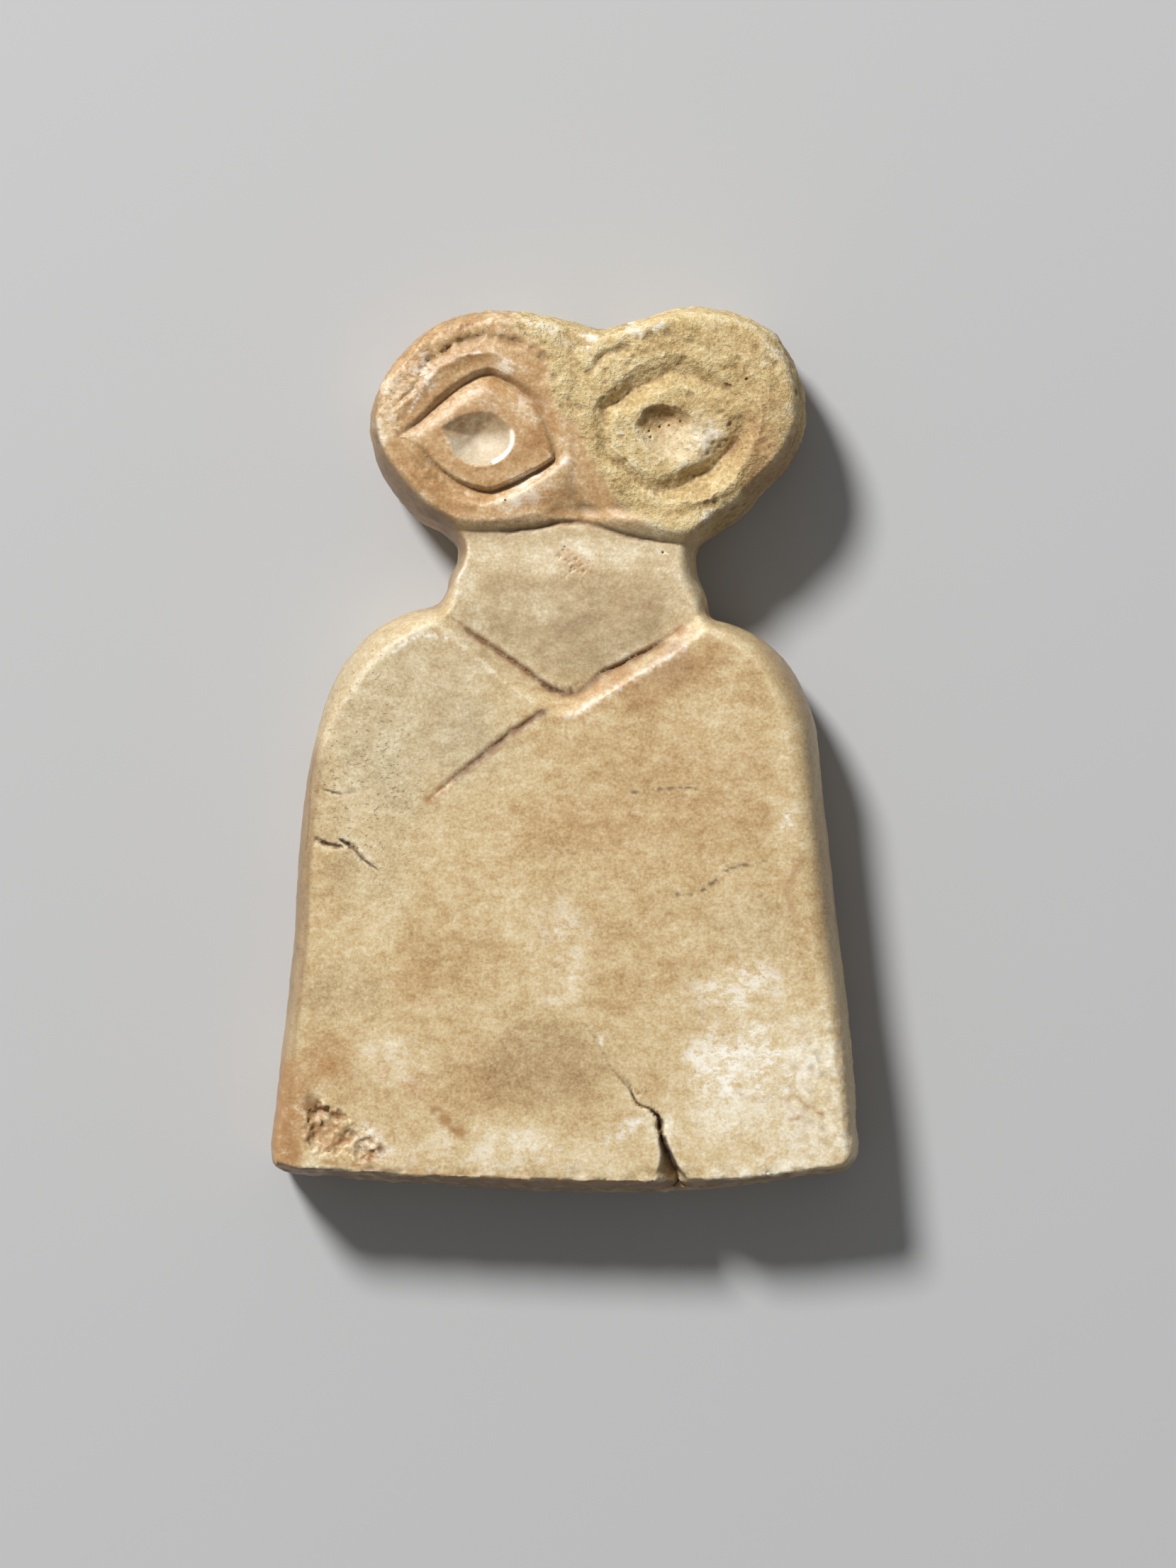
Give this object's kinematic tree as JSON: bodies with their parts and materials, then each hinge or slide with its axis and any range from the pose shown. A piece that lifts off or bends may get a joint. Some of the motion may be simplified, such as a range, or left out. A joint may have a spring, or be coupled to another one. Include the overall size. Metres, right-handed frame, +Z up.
{
  "type": "eye idol",
  "caption": "Flat stone figurine with a flared body, a narrow neck and two joined carved eyes in place of a head; lies on its flat back.",
  "frame": {"origin": "middle of the idol's plan, on the surface that its flat back lies on", "axes": "+Z up out of the carved face, +Y from the base towards the eyes, +X to the right of a person who looks at the face with the eyes up"},
  "size_m": [0.043, 0.065, 0.01],
  "materials": {
    "alabaster": "worn gypsum alabaster, cream to tan with ochre mottling, smooth on the body and eroded on one eye"
  },
  "bodies": {
    "root": {"eye_idol": "alabaster"}
  },
  "joints": []
}
